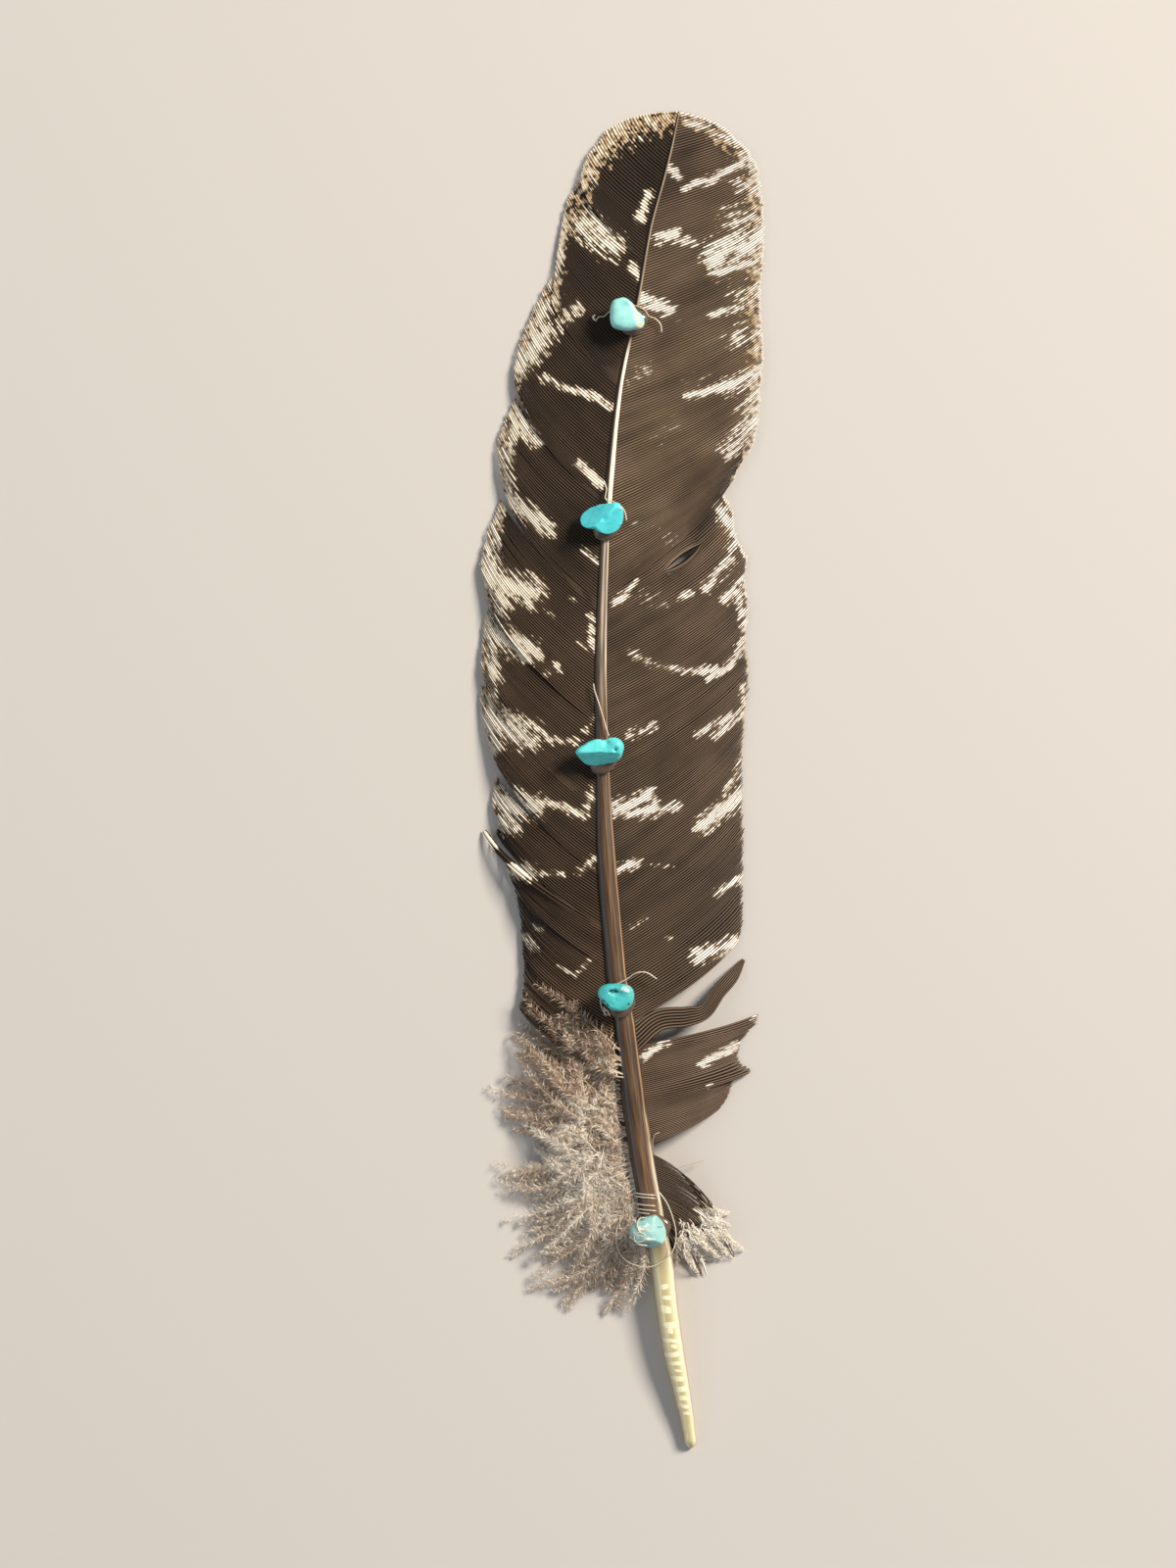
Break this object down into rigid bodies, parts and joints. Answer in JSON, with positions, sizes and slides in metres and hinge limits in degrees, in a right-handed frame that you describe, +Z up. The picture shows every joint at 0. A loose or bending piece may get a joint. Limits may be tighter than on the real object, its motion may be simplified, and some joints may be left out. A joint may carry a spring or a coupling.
{
  "type": "turkey feather",
  "caption": "Barred brown turkey wing feather with downy base and bare quill, lying flat, with rough turquoise chips tied and glued along its shaft",
  "frame": {"origin": "on the surface that the feather lies on, under the middle of its bounding box", "axes": "+Y runs along the feather from the quill to the tip, +Z is up, away from the surface, and +X is to the right seen from above"},
  "size_m": [0.0636, 0.2998, 0.0156],
  "materials": {
    "barbs": "dark brown barbs barred with cream, matt with a faint sheen",
    "glue": "clear craft glue set over dark barbs, glossy",
    "turquoise": "tumbled turquoise, waxy polish with paler veins",
    "thread": "clear nylon thread, glossy"
  },
  "bodies": {
    "root": {"feather": "barbs", "glue_dab_1": "glue", "glue_dab_2": "glue", "glue_dab_3": "glue", "glue_dab_4": "glue", "glue_dab_5": "glue", "turquoise_chip_1": "turquoise", "turquoise_chip_2": "turquoise", "turquoise_chip_3": "turquoise", "turquoise_chip_4": "turquoise", "turquoise_chip_5": "turquoise", "thread_1": "thread", "thread_2": "thread", "thread_3": "thread", "thread_4": "thread", "thread_5": "thread"}
  },
  "joints": []
}
